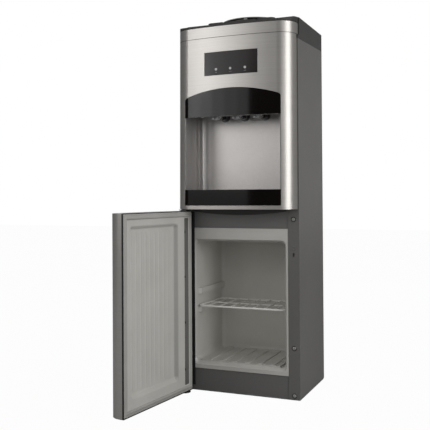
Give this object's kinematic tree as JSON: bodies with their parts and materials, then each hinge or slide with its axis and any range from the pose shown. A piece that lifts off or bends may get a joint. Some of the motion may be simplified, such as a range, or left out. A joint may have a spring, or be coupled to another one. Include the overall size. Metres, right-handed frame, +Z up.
{
  "type": "water dispenser",
  "caption": "Free-standing bottled-water dispenser with a bowed silver front, cup recess with taps, drip tray and a small refrigerator with a side-hinged door.",
  "frame": {"origin": "middle of the cabinet's rectangular footprint, on the floor", "axes": "+Z up, +Y towards the rear, +X to the viewer's right when facing the front"},
  "size_m": [0.3501, 0.6301, 0.9483],
  "materials": {
    "side_paint": "satin",
    "frame_paint": "satin",
    "silver_front": "brushed",
    "dark_cover": "fine grain",
    "black_gloss": "gloss",
    "window_gloss": "gloss",
    "alcove_grey": "satin",
    "tap_grey": "satin",
    "tap_red": "satin",
    "tap_blue": "satin",
    "lens_clear": "gloss",
    "board_green": "satin",
    "liner_white": "satin",
    "gasket_grey": "matt",
    "foam_yellow": "matt",
    "zinc_sheet": "zinc",
    "black_paint": "satin",
    "black_rubber": "matt",
    "black_plastic": "fine grain",
    "white_wire": "plastic coated",
    "white_nylon": "matt",
    "stainless": "satin",
    "aluminium_plate": "satin",
    "copper": "satin",
    "silicone_hose": "matt",
    "screw_zinc": "bright",
    "rocker_red": "gloss",
    "rocker_green": "gloss"
  },
  "bodies": {
    "cabinet": {"base_pan": "zinc_sheet", "side_panel_left": "side_paint", "side_panel_right": "side_paint", "cross_bar": "frame_paint", "kick_plate": "frame_paint", "rear_cover": "zinc_sheet", "tank_shelves": "zinc_sheet", "front_panel": "silver_front", "front_trim": "silver_front", "top_cover": "dark_cover", "display_window": "window_gloss", "indicator_lenses": "lens_clear", "indicator_board": "board_green", "tap_hood": "black_gloss", "alcove": "alcove_grey", "tap_body_left": "tap_blue", "tap_body_middle": "tap_grey", "tap_body_right": "tap_red", "tap_nuts": "white_nylon", "cabinet_liner": "liner_white", "liner_foam": "foam_yellow", "evaporator_plate": "aluminium_plate", "cold_tank": "stainless", "cold_tank_foam": "foam_yellow", "cold_coil": "copper", "water_guide": "white_nylon", "hot_tank": "stainless", "hot_tank_jacket": "foam_yellow", "heater_element": "stainless", "thermostats": "black_plastic", "water_hoses": "silicone_hose", "compressor": "black_paint", "compressor_grommets": "black_rubber", "condenser_tube": "black_paint", "condenser_wires": "black_paint", "condenser_clips": "black_plastic", "filter_drier": "copper", "refrigerant_lines": "copper", "drain_outlet": "black_plastic", "switch_plate": "black_plastic", "cord_gland": "black_plastic", "control_box": "black_plastic", "hinge_top": "black_paint", "hinge_bottom": "black_paint", "cabinet_screws": "screw_zinc"},
    "door": {"door_skin": "silver_front", "door_liner": "liner_white", "door_foam": "foam_yellow", "door_gasket": "gasket_grey", "hinge_bushes": "white_nylon"},
    "lever_left": {"tap_lever_left": "tap_blue"},
    "lever_middle": {"tap_lever_middle": "tap_grey"},
    "lever_right": {"tap_lever_right": "tap_red"},
    "tray": {"drip_tray": "black_plastic", "drip_tray_front": "black_gloss"},
    "grille": {"drip_grille": "black_plastic"},
    "shelf": {"wire_shelf": "white_wire"},
    "seat": {"bottle_seat": "alcove_grey"},
    "rocker_heat": {"rocker_heat": "rocker_red"},
    "rocker_cool": {"rocker_cool": "rocker_green"}
  },
  "joints": [
    {"name": "door_hinge", "type": "hinge", "parent": "cabinet", "child": "door", "pos_m": [-0.14, -0.142, 0.23], "axis": [0, 0, -1], "range_deg": [-96.5, 13.5]},
    {"name": "tap_lever_left_push", "type": "hinge", "parent": "cabinet", "child": "lever_left", "pos_m": [-0.054, -0.09, 0.714], "axis": [1, 0, 0], "range_deg": [0, 12], "stiffness_Nm_per_rad": 0.14, "springref_deg": -8.02},
    {"name": "tap_lever_middle_push", "type": "hinge", "parent": "cabinet", "child": "lever_middle", "pos_m": [0, -0.09, 0.714], "axis": [1, 0, 0], "range_deg": [0, 12], "stiffness_Nm_per_rad": 0.14, "springref_deg": -8.02},
    {"name": "tap_lever_right_push", "type": "hinge", "parent": "cabinet", "child": "lever_right", "pos_m": [0.054, -0.09, 0.714], "axis": [1, 0, 0], "range_deg": [0, 12], "stiffness_Nm_per_rad": 0.14, "springref_deg": -8.02},
    {"name": "drip_tray_slide", "type": "slide", "parent": "cabinet", "child": "tray", "axis": [0, -1, 0], "range_m": [0, 0.11]},
    {"name": "drip_grille_lift", "type": "slide", "parent": "tray", "child": "grille", "axis": [0, 0, 1], "range_m": [0, 0.06]},
    {"name": "wire_shelf_slide", "type": "slide", "parent": "cabinet", "child": "shelf", "axis": [0, -1, 0], "range_m": [0, 0.15]},
    {"name": "bottle_seat_lift", "type": "slide", "parent": "cabinet", "child": "seat", "axis": [0, 0, 1], "range_m": [0, 0.06]},
    {"name": "rocker_heat_tip", "type": "hinge", "parent": "cabinet", "child": "rocker_heat", "pos_m": [-0.106, 0.1186, 0.59], "axis": [-1, 0, 0], "range_deg": [0, 16]},
    {"name": "rocker_cool_tip", "type": "hinge", "parent": "cabinet", "child": "rocker_cool", "pos_m": [-0.084, 0.1186, 0.59], "axis": [-1, 0, 0], "range_deg": [0, 16]}
  ]
}
